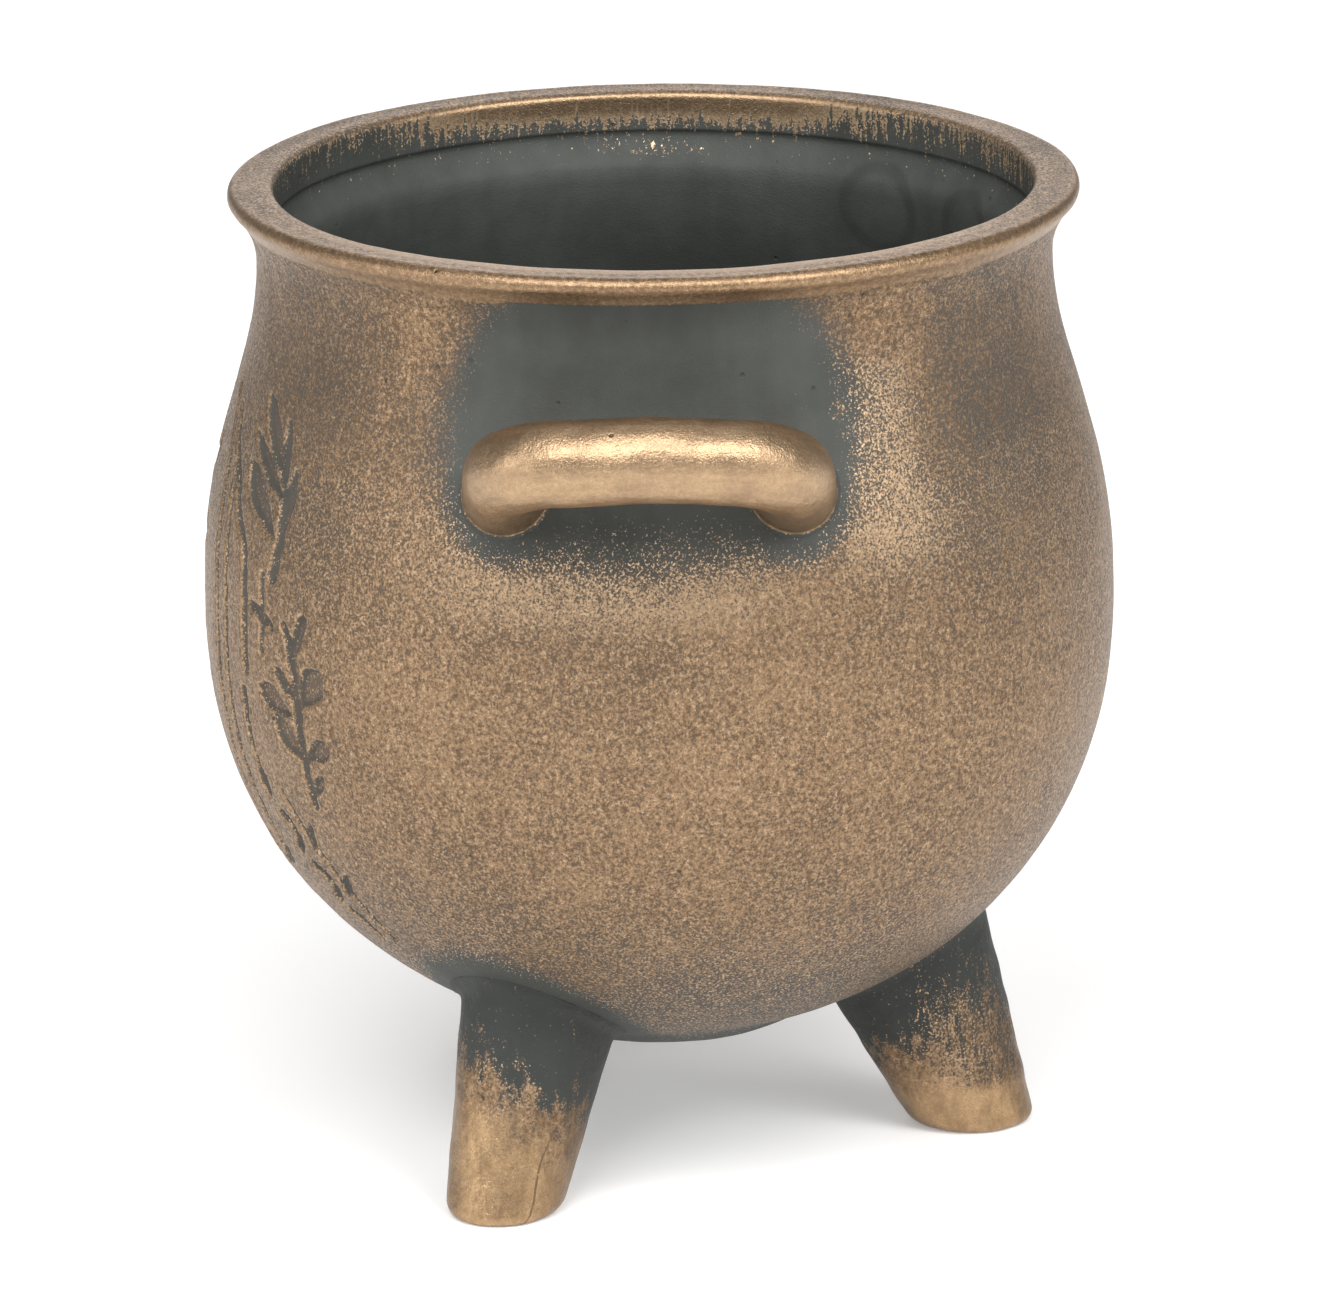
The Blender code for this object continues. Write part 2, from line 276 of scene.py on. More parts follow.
def leafDistance(across, up, base, tip, width, widest):
    # distance from a leaf's edge: its half-width rises and falls as a skewed half sine from base to tip
    base, tip = np.array(base, float), np.array(tip, float)
    way = tip - base
    length = math.hypot(*way)
    way /= length
    t = ((across - base[0]) * way[0] + (up - base[1]) * way[1]) / length
    side = (across - base[0]) * way[1] - (up - base[1]) * way[0]
    along = np.clip(t, 0, 1) ** (math.log(0.5) / math.log(widest))
    half = width * np.sin(np.pi * along) ** 0.85
    beyond = np.maximum(np.maximum(-t, t - 1), 0) * length
    return np.hypot(np.maximum(np.abs(side) - half, 0), beyond) - np.maximum(half - np.abs(side), 0) * (beyond == 0)


def carving(across, up):
    # signed distance to the nearest cut, in millimetres; the left half mirrors the right half, a little shifted
    nearest = np.full(across.shape, 9.0)
    for shift, side in ((0.0, across), (1.7, -across)):
        for points, startWidth, endWidth in stems:
            nearest = np.minimum(nearest, strokeDistance(side, up + shift, points, startWidth, endWidth))
        for base, tip, width, widest in leaves:
            nearest = np.minimum(nearest, leafDistance(side, up + shift, base, tip, width, widest))
    return nearest


def legAway(place, spot):
    # about how far a point is from a leg's side, level: the leg is an oval that leans in and grows with height
    turn = math.radians(spot)
    out = place[..., 0] * math.cos(turn) + place[..., 1] * math.sin(turn)
    side = place[..., 1] * math.cos(turn) - place[..., 0] * math.sin(turn)
    height = np.clip(place[..., 2], 0, 0.05)
    halfOut = legs["footRadial"] + legs["taperRadial"] * height
    halfSide = legs["footSide"] + legs["taperSide"] * height
    centre = bellyRadius - legs["footInset"] - height * math.tan(legs["splay"])
    return (np.hypot((out - centre) / halfOut, side / halfSide) - 1) * 0.5 * (halfOut + halfSide)


def potGilding(angle, height, place, outside):
    # how much bronze paint lies here: full on the lip, sponged over the bowl, none behind the handles or inside;
    # a base cover less bell curves and smooth steps in azimuth and height
    up = height * 1000
    radius = np.hypot(place[..., 0], place[..., 1])
    cover = 0.77 + 0 * up
    cover -= 0.32 * (1 - smooth(up, 28, 74))  # less bronze towards the underside, and on the next line less again under it: painted shade under the bowl
    cover -= 0.50 * (1 - smooth(up, 20, 30))
    for spot, share in ((-55, 0.20), (55, 0.30), (-125, 0.24), (125, 0.24)):  # less bronze on the shoulders: painted dark reflections there
        cover -= share * np.exp(-((gap(angle, spot) / 22) ** 2)) * smooth(up, 94, 128)
    for spot in handleSpots:
        side = np.radians(gap(angle, spot)) * 77
        lift = up - 140
        reach = (np.abs(side - 0.6) / 37) ** 2.3 + (np.abs(lift) / np.where(lift > 0, 27.0, 19.5)) ** 2.3
        away = reach ** (1 / 2.3) - 1
        low = smooth(-lift, 2, 14)
        cover -= 0.80 * (1 - smooth(away, -0.20 - 0.42 * low, 0.16 + 0.20 * low))
        cover -= 0.26 * (1 - smooth(away, -0.05, 0.46))
        glow = np.exp(-(((np.abs(gap(angle, spot)) - 33) / 6.5) ** 2) - ((up - 156) / 7.5) ** 2)
        cover += 0.24 * glow
        root = np.hypot(np.abs(side) - 26.5, (up - 129.5) * 0.9)  # the brush kept clear of where the ends join
        cover -= 0.45 * (1 - smooth(root, 6.5, 12.5))
    for spot in legSpots.values():
        away = legAway(place, spot) * 1000
        cover -= 0.85 * (1 - smooth(away, 0.5, 10)) * (up < 80)
    bead = smooth(up, 160.4, 161.8) * (radius > 0.0690)
    cover = cover + (1.25 - cover) * bead
    rimTop = smooth(up, 166.25, 166.6)
    flat = 0.62 + 0.30 * np.exp(-((gap(angle, 0) / 60) ** 4)) + 0.4 * smooth(radius * 1000, 69.4, 70.9)
    cover = cover + (flat - cover) * rimTop
    # inside the mouth a dry brush caught the band, most of all at the back
    back = sum(share * np.exp(-((gap(angle, spot) / width) ** 4))
               for spot, width, share in ((183, 47, 1.0), (108, 24, 0.50), (262, 27, 0.25)))
    inside = -0.50 + back * (1.42 * smooth(up, 157.6, 164.6) + 0.10 * smooth(up, 150, 158))
    inside += 0.75 * smooth(up, 164.6, 166.2) * (1 - back)
    inside += 0.46 * np.exp(-((gap(angle, 181) / 10) ** 2) - ((up - 156.6) / 1.8) ** 2)  # a few flecks under the band
    return np.where(outside > 0.5, cover, inside + (cover - inside) * rimTop)


def potDryness(place, outside):
    # how much the brush skipped in upright strokes: inside the mouth, and a little round the neck
    up = place[..., 2] * 1000
    neck = 0.25 * smooth(up, 150, 156) * (1 - smooth(up, 160, 162))
    mouth = 1.5 * smooth(up, 153.5, 157.5) * (1 - smooth(up, 165.4, 166.4))
    return np.where(outside > 0.5, neck, mouth)


def makePot():
    # the section turned about the axis: x = r cos(a), y = r sin(a), with the carving and unevenness taken off r
    section, step, outside = potSection()
    rows, outer = evenRun(section, step, outside.astype(float))
    angle = turnAngles()
    turn = np.radians(angle)
    radius = rows[:, 0][:, None] + 0 * turn[None, :]
    height = rows[:, 1][:, None] + 0 * turn[None, :]
    outer = outer[:, None] + 0 * turn[None, :]
    tangent = np.gradient(rows, axis=0)
    tangent /= np.linalg.norm(tangent, axis=1)[:, None]
    outward = np.stack([-tangent[:, 1], tangent[:, 0]], axis=-1)  # the run goes up inside and down outside
    if (outward[:, 0] * outer[:, 0])[rows[:, 1] > 0.05].sum() < 0:
        outward = -outward
    across = np.radians(gap(angle, pot["frontAngle"]))[None, :] * 74.5
    groove = carving(across + 0 * height, height * 1000)
    groove = groove + 9 * (outer < 0.5)
    place = np.stack([radius * np.cos(turn), radius * np.sin(turn), height], axis=-1)
    ragged = waves(place, 0.0034, 11) * 0.16 + waves(place, 0.0016, 12) * 0.08
    groove = np.clip(groove + ragged, -3, 6)
    bead = pot["edgeBead"] * np.exp(-(((groove - 0.75) / 0.45) ** 2))
    cut = pot["carveDepth"] * (1 - smooth(groove, -0.75, 0.45)) - bead
    uneven = 0.55 * waves(place, 0.046, 3) + 0.3 * waves(place, 0.019, 4) + 0.15 * waves(place, 0.007, 5)
    fade = smooth(radius, 0.004, 0.02)
    off = (pot["skin"] - pot["unevenness"] * uneven) * fade + cut * (outer > 0.5)
    radius = radius - off * outward[:, 0][:, None]
    height = height - off * outward[:, 1][:, None]
    place = np.stack([radius * np.cos(turn), radius * np.sin(turn), height], axis=-1)
    gilt = potGilding(angle[None, :], rows[:, 1][:, None] + 0 * height, place, outer)
    shallow = (1 - smooth(height * 1000, 92, 104)) * smooth(height * 1000, 66, 74)  # leaves that took more paint
    gilt = gilt + 0.14 * shallow * (groove < 0.2) * smooth(-groove, 0.2, 1.2)
    up, turned = height * 1000, angle[None, :]
    # where loose flakes show pale: under a handle, inside the mouth, and everywhere below the handles; beside one end
    # of a handle the pale is a painted highlight
    beside = np.exp(-((gap(turned, 33) / 8) ** 4)) * smooth(up, 112, 122) * (1 - smooth(up, 146, 156))
    under = np.exp(-((gap(turned, -6) / 21) ** 4)) * smooth(up, 106, 114) * (1 - smooth(up, 122, 130))
    within = (outer < 0.5) * (1 - smooth(up, 165.4, 166.2))
    everywhere = np.maximum(np.maximum(1 - smooth(up, 126, 137), beside), outer < 0.5)
    flakeAndPaintedLight = 0.25 + 0.38 * beside + 0.36 * under + 0.85 * within + 0.75 * everywhere
    lip = 0.60 * smooth(up, 160.8, 162.0) * (1 - smooth(up, 166.1, 166.6)) * (radius > 0.0690)
    burnish = np.where(outer > 0.5, lip, 0.9 * smooth(gilt, 0.55, 0.95))
    fields = {"gilt": gilt, "groove": groove, "dry": potDryness(place, outer), "flakeAndPaintedLight": flakeAndPaintedLight,
              "burnish": burnish, "grain": place * 1000}
    poles = [(0, 0, potBase + pot["floor"]), (0, 0, potBase)]
    obj = closedShell("potBody", place, poles, fields)
    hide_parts("pot_body")
    return obj


# the handles

handleSpots = (0.0, 180.0)  # azimuths of the two handles
handles = {
    "thickness": 0.0146,
    "spacing": 0.0463,
    "drop": 0.036,
    "standout": 0.0203,
    "rise": math.radians(27),
    "corner": 0.0125,
    "bow": 0.0016,
    "skin": 0.00018,
    "unevenness": 0.00022,
    "filletSize": 0.0007,
    "sink": 0.0006,  # how far the ends go under the pot's surface
    "sides": 72,
    "step": 0.0006,
}


def handleLine():
    # half of the centreline in its own plane: straight out from the wall, a quarter bend, then the bowed grip
    half = handles["spacing"] / 2
    front = handles["standout"] / math.cos(handles["rise"]) - handles["bow"]
    corner = (front - handles["corner"], half - handles["corner"])
    stub = np.stack([np.linspace(-0.012, corner[0], 110), np.full(110, half)], axis=-1)[:-1]
    bend = arc(corner, handles["corner"], 90, 0, 80)
    share = np.linspace(0, 1, 80)[1:]
    grip = np.stack([front + handles["bow"] * np.sin(np.pi / 2 * share), corner[1] * (1 - share)], axis=-1)
    side = np.concatenate([stub, bend, grip])
    line = np.concatenate([side, (side * [1, -1])[::-1][1:]])
    kernel = np.hanning(23)
    kernel /= kernel.sum()
    padded = np.pad(line, ((11, 11), (0, 0)), mode="reflect", reflect_type="odd")
    line = np.stack([np.convolve(padded[:, i], kernel, mode="valid") for i in range(2)], axis=-1)
    even, _ = evenRun(line, np.full(len(line), handles["step"]), line[:, 0])
    return even


def clearanceTable():
    # signed distance from the bowl's outside on a grid of radius and height, from the nearest point of its section
    side = bowlSide(0.0, potBase)
    side = np.concatenate([np.stack([np.linspace(0, side[0, 0], 30), np.full(30, potBase)], axis=-1), side])[::3]
    radius, height = np.meshgrid(np.arange(0, 0.112, 0.001), np.arange(-0.002, 0.156, 0.001), indexing="ij")
    nearest = np.full(radius.shape, 1.0)
    for start in range(0, len(side), 60):
        part = side[start:start + 60]
        away = np.hypot(radius[..., None] - part[:, 0], height[..., None] - part[:, 1])
        nearest = np.minimum(nearest, away.min(axis=-1))
    inside = (radius < np.interp(height, side[:, 1], side[:, 0])) & (height > potBase)
    return np.where(inside, -nearest, nearest)


bowlClearance = clearanceTable()


def clearance(points):
    # distance of points from the bowl's surface, read between the table's grid points; negative inside
    r = np.clip(np.hypot(points[..., 0], points[..., 1]) / 0.001, 0, bowlClearance.shape[0] - 1.001)
    z = np.clip((points[..., 2] + 0.002) / 0.001, 0, bowlClearance.shape[1] - 1.001)
    i, j = r.astype(int), z.astype(int)
    u, v = r - i, z - j
    near = bowlClearance[i, j] * (1 - u) + bowlClearance[i + 1, j] * u
    far = bowlClearance[i, j + 1] * (1 - u) + bowlClearance[i + 1, j + 1] * u
    return near * (1 - v) + far * v


def meetBowl(place, grow, wanted, outer, inner):
    # where along each strip its clearance falls to the wanted one, by halving between an outer and an inner end
    outer, inner = outer + 0.0 * (grow + wanted), inner + 0.0 * (grow + wanted)
    for _ in range(34):
        middle = 0.5 * (outer + inner)
        clear = clearance(place(middle, grow)) > wanted
        outer, inner = np.where(clear, middle, outer), np.where(clear, inner, middle)
    return 0.5 * (outer + inner)


def filletRun(place, size, sink, outer, inner, columns, steps=15):
    # rows that flare out into the bowl so that sqrt(growth) + sqrt(clearance) = sqrt(size), then go just under it
    t = np.linspace(0, 1, steps)[:, None] + 0 * np.zeros(columns)[None, :]
    grow = np.concatenate([size * t**2, np.full((1, columns), size)])
    wanted = np.concatenate([size * (1 - t) ** 2, np.full((1, columns), -sink)])
    return meetBowl(place, grow, wanted, outer, inner), grow


def makeHandle(name, node, facing, seed):
    # a round bar carried along the line: centre + r (cos(a) n + sin(a) b), flared into the bowl at both ends
    line = handleLine()
    tangent = np.gradient(line, axis=0)
    tangent /= np.linalg.norm(tangent, axis=1)[:, None]
    normal = np.stack([-tangent[:, 1], tangent[:, 0]], axis=-1)
    spin = np.linspace(0, 2 * np.pi, handles["sides"], endpoint=False)[None, :]
    rootHeight = potHeight - handles["drop"]
    root = math.sqrt(float(bowlRadius(np.array(rootHeight))) ** 2 - (handles["spacing"] / 2) ** 2)
    along = np.concatenate([[0], np.cumsum(np.linalg.norm(np.diff(line, axis=0), axis=1))])
    rise, radius = handles["rise"], handles["thickness"] / 2 - handles["skin"]

    def lay(run, grow):
        # a point of the bar's skin: run along the line, grow beyond the bar's radius
        x, y = np.interp(run, along, line[:, 0]), np.interp(run, along, line[:, 1])
        nx, ny = np.interp(run, along, normal[:, 0]), np.interp(run, along, normal[:, 1])
        out, lift = (radius + grow) * np.cos(spin), (radius + grow) * np.sin(spin)
        x, y = x + out * nx, y + out * ny
        return np.stack([root + x * math.cos(rise) - lift * math.sin(rise), y,
                         rootHeight + x * math.sin(rise) + lift * math.cos(rise)], axis=-1)

    columns = handles["sides"]
    size, sink, whole = handles["filletSize"], handles["sink"], along[-1]
    first, growFirst = filletRun(lay, size, sink, whole * 0.30, 0.0, columns)
    last, growLast = filletRun(lay, size, sink, whole * 0.70, whole, columns)
    t = np.linspace(0, 1, int((whole - 0.03) / handles["step"]))[1:-1, None]
    bar = first[0] + (last[0] - first[0]) * t
    run = np.concatenate([first[::-1], bar, last])
    grow = np.concatenate([growFirst[::-1], 0 * bar, growLast])
    base = lay(run, grow)
    away = np.clip(clearance(base), 0, None)
    wobble = handles["unevenness"] * (0.6 * waves(base, 0.021, seed) + 0.4 * waves(base, 0.008, seed + 1))
    dents = np.minimum(wobble - handles["unevenness"] * 0.6, 0) * smooth(away, 0.0, 0.002)  # only ever inwards
    place = lay(run, grow + dents)
    near = away * 1000
    topSide = np.sin(spin) + 0 * near
    gilt = 0.1 + 1.05 * smooth(near, 0.02, 0.22)
    # less bronze on the underside of the bar as painted shade, and a little less on its top
    gilt = gilt - 0.06 * smooth(topSide, 0.2, 1.0) - 0.16 * smooth(-topSide, 0.55, 1.0)
    reach = (radius + grow) * 1000
    strip = np.stack([run * 1000, reach * np.cos(spin), reach * np.sin(spin)], axis=-1)
    fields = {"gilt": gilt, "groove": np.full_like(gilt, 6.0), "burnish": smooth(near, 0.05, 0.6),
              "dry": np.zeros_like(gilt), "flakeAndPaintedLight": np.full_like(gilt, 0.8), "grain": strip}
    turn = math.radians(facing)
    spun = np.stack([place[..., 0] * math.cos(turn) - place[..., 1] * math.sin(turn),
                     place[..., 0] * math.sin(turn) + place[..., 1] * math.cos(turn), place[..., 2]], axis=-1)
    obj = closedShell(name, spun, [spun[0].mean(axis=0), spun[-1].mean(axis=0)], fields)
    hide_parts(node)
    return obj


# the legs

legs = {
    "footRadial": 0.0108,
    "footSide": 0.0097,
    "footInset": 0.0244,
    "footRound": 0.0022,
    "splay": math.radians(22.3),
    "taperRadial": 0.19,
    "taperSide": 0.095,
    "skin": 0.00012,
    "unevenness": 0.00026,
    "filletSize": 0.0020,
    "sink": 0.0006,
    "sides": 120,
    "rows": 84,
}
legSpots = {"leg_front_left": 210.0, "leg_front_right": 330.0, "leg_back": 90.0}  # azimuths


def makeLeg(name, node, spot, seed, paintLine):
    # level ovals that grow and lean inwards with height; each strip ends where it meets the bowl, flared there
    spin = np.linspace(0, 2 * np.pi, legs["sides"], endpoint=False)
    circle = bellyRadius - legs["footInset"]
    lean = math.tan(legs["splay"])

    def lay(height, grow):
        # a leg facing +X: centre moves in by lean x height, half-widths grow by the tapers
        out = circle - height * lean + (legs["footRadial"] + legs["taperRadial"] * height + grow) * np.cos(spin)
        side = (legs["footSide"] + legs["taperSide"] * height + grow) * np.sin(spin)
        return np.stack([out, side, height], axis=-1)

    columns = legs["sides"]
    skin = -legs["skin"]
    top, growTop = filletRun(lambda height, grow: lay(height, grow + skin),
                             legs["filletSize"], legs["sink"], 0.004, 0.062, columns)
    t = np.linspace(0, 1, legs["rows"])[:-1, None]
    share = 0.35 * t + 0.65 * t**2  # rows lie closer together near the foot
    height = np.concatenate([share * top[0][None, :], top])
    grow = np.concatenate([0 * share * top[0][None, :], growTop])
    foot = legs["footRound"]
    tuck = foot * (1 - np.sqrt(np.clip(1 - (1 - np.clip(height / foot, 0, 1)) ** 2, 0, 1)))
    base = lay(height, grow + skin)
    away = clearance(base)
    wobble = legs["unevenness"] * (0.55 * waves(base, 0.019, seed) + 0.45 * waves(base, 0.007, seed + 1))
    uneven = np.minimum(wobble - 0.4 * legs["unevenness"], 0.0001) * smooth(away, 0.0, 0.003)
    place = lay(height, grow + skin - tuck + uneven)
    middle = place[0].mean(axis=0)
    sole = np.stack([place[0] * [0, 0, 1] + (place[0] - middle) * [share, share, 0] + middle * [1, 1, 0]
                     for share in (0.25, 0.6, 0.9)])  # rings that close the foot
    place = np.concatenate([sole, place])
    height = np.concatenate([np.zeros((3, legs["sides"])), height])
    away = np.concatenate([np.full((3, legs["sides"]), 0.02), away])
    turn = math.radians(spot)
    spun = np.stack([place[..., 0] * math.cos(turn) - place[..., 1] * math.sin(turn),
                     place[..., 0] * math.sin(turn) + place[..., 1] * math.cos(turn), place[..., 2]], axis=-1)
    direction = np.degrees(spin)[None, :] + spot
    up = height * 1000
    edge = paintLine["height"] + paintLine["slant"] * np.cos(np.radians(direction - paintLine["towards"]))
    rag = 2.2 * waves(spun, 0.006, seed + 5) + 1.2 * waves(spun, 0.0025, seed + 6)
    gilt = 0.98 - 1.24 * smooth(up + rag, edge - paintLine["fade"], edge + paintLine["fade"])
    if "patchy" in paintLine:  # a side where the brush skipped, half covered from low down to the top
        skipped = np.exp(-((gap(direction, paintLine["patchy"]) / 46) ** 4)) * smooth(up, 5, 12)
        gilt = gilt + (0.50 - 0.55 * smooth(up, 18, 34) - gilt) * skipped
    burnish = 1 - smooth(up + rag, edge - paintLine["fade"] - 5, edge - 0.3 * paintLine["fade"])
    burnish = burnish * smooth(gilt, 0.6, 0.9)
    seam = np.full_like(gilt, 9.0)
    if "seam" in paintLine:
        bearing = paintLine["seam"] + 1.5 * np.sin(up * 0.5) + 0.35 * (up - 12)
        seam = np.radians(gap(direction, bearing)) * 11
    flakeAndPaintedLight = 0.25 + 0.95 * np.exp(-((gap(direction, paintLine["highlightFacing"]) / 46) ** 2)) + 0 * up  # a painted highlight in a stripe down the leg, with painted shade on the sides away from it
    fields = {"gilt": gilt, "groove": np.full_like(gilt, 6.0), "burnish": burnish, "seam": seam,
              "seamShow": 1 - smooth(up, 10, 17), "dry": np.full_like(gilt, 0.75), "flakeAndPaintedLight": flakeAndPaintedLight,
              "grain": spun * 1000}
    poles = [(*spun[0].mean(axis=0)[:2], 0.0), spun[-1].mean(axis=0)]
    obj = closedShell(name, spun, poles, fields)
    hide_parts(node)
    return obj


# paint

class Wire:
    # one socket of the node tree, so that shader maths reads as plain arithmetic
    def __init__(self, finish, socket):
        self.finish, self.socket = finish, socket

    def maths(self, operation, *values):
        return self.finish.node("ShaderNodeMath", {"operation": operation}, dict(enumerate(values)))

    def __add__(self, other):
        return self.maths("ADD", self, other)

    def __radd__(self, other):
        return self.maths("ADD", other, self)

    def __sub__(self, other):
        return self.maths("SUBTRACT", self, other)

    def __rsub__(self, other):
        return self.maths("SUBTRACT", other, self)

    def __mul__(self, other):
        return self.maths("MULTIPLY", self, other)

    def __rmul__(self, other):
        return self.maths("MULTIPLY", other, self)

    def rising(self, low, high):
        # 0 at low and under, 1 at high and over, smooth between
        return self.finish.node("ShaderNodeMapRange", {"interpolation_type": "SMOOTHSTEP"},
                                {"Value": self, "From Min": low, "From Max": high})

    def atLeast(self, other):
        return self.maths("MAXIMUM", self, other)

    def atMost(self, other):
        return self.maths("MINIMUM", self, other)


class Finish:
    # one material and the node tree behind it
    def __init__(self, name):
        self.material = bpy.data.materials.new(name)
        self.material.use_nodes = True
        self.tree = self.material.node_tree
        self.shader = self.tree.nodes["Principled BSDF"]

    def node(self, kind, settings=None, inputs=None, output=0):
        made = self.tree.nodes.new(kind)
        for key, value in (settings or {}).items():
            setattr(made, key, value)
        for key, value in (inputs or {}).items():
            self.feed(made.inputs[key], value)
        return Wire(self, made.outputs[output])

    def feed(self, socket, value):
        if isinstance(value, Wire):
            self.tree.links.new(value.socket, socket)
        elif isinstance(value, tuple) and len(value) == 3 and socket.type == "RGBA":
            socket.default_value = (*value, 1)
        else:
            socket.default_value = value

    def colour(self, factor, first, second, blend="MIX"):
        return self.node("ShaderNodeMix", {"data_type": "RGBA", "blend_type": blend},
                         {0: factor, 6: first, 7: second}, 2)

    def noise(self, place, size, detail=3.0, roughness=0.55):
        # size is the width of the patches, in millimetres
        return self.node("ShaderNodeTexNoise", None,
                         {"Vector": place, "Scale": 1 / size, "Detail": detail, "Roughness": roughness})

    def cells(self, place, size, randomness=1.0):
        return self.node("ShaderNodeTexVoronoi", None, {"Vector": place, "Scale": 1 / size, "Randomness": randomness})

    def field(self, name, output=2):
        return self.node("ShaderNodeAttribute", {"attribute_name": name}, None, output)

    def stretched(self, place, scale):
        return self.node("ShaderNodeVectorMath", {"operation": "MULTIPLY"}, {0: place, 1: scale})


paint = {
    "slipDark": (0.045, 0.048, 0.043),
    "slipLight": (0.066, 0.070, 0.064),
    "mist": (0.108, 0.078, 0.057),
    "legTone": (0.500, 0.332, 0.180),
    "lipTone": (0.340, 0.226, 0.133),
    "cutTone": (0.072, 0.056, 0.043),
    "bronzeDeep": (0.105, 0.066, 0.038),
    "bronze": (0.268, 0.172, 0.098),
    "bronzePale": (0.700, 0.510, 0.325),
    "rubbed": (0.520, 0.360, 0.218),
    "speckSize": 0.43,
    "grainSize": 0.27,
    "shadeSize": 0.85,
    "castSize": 2.3,
    "patchSize": 5.0,
    "cloudSize": 26.0,
    "pitSpacing": 7.5,
    "speckContrast": 2.8,
    "edgeSoftness": 0.15,
    "metal": 0.78,
    "giltRoughness": 0.41,
    "slipRoughness": 0.60,
    "slipShine": 0.24,
    "bumpStrength": 0.6,
    "bumpHeight": 0.00022,
    # a darker copy of the slip, painted shade for the legs under the bowl
    "shadedSlip": (0.018, 0.020, 0.019),
    "stain": (0.016, 0.017, 0.016),
    "dustAndGlint": (0.26, 0.28, 0.30),
    "pit": (0.04, 0.036, 0.030),
    "seam": (0.060, 0.040, 0.026),
    "chip": (0.62, 0.62, 0.60),
}


def spotOnPot(angle, height, inset=0.0):
    # the point of the pot's side at an azimuth and a height, in millimetres
    turn, radius = math.radians(angle), float(bowlRadius(np.array(height / 1000), inset)) * 1000
    return (radius * math.cos(turn), radius * math.sin(turn), height)


marks = {
    # rings rubbed into the slip over the right end of a handle; each mark is a centre and a radius in millimetres
    "scuffs": [(spotOnPot(21.0, 144.0), 1.5), (spotOnPot(26.5, 142.2), 1.1)],
    # drying rings on the inner wall
    "stains": [(spotOnPot(142, 149, 0.006), 7.6), (spotOnPot(121, 149, 0.006), 6.6)],
    # pale dust with painted glints where a leg joins the bowl
    "dustAndGlint": [((63.0, -31.0, 32.0), 5.0), ((62.0, -9.5, 29.5), 3.5)],
    # bare chips
    "chips": [((7.5, 60.0, 36.6), 0.55), ((38.0, -29.5, 31.5), 0.5), ((51.0, -12.0, 27.0), 0.45)],
}


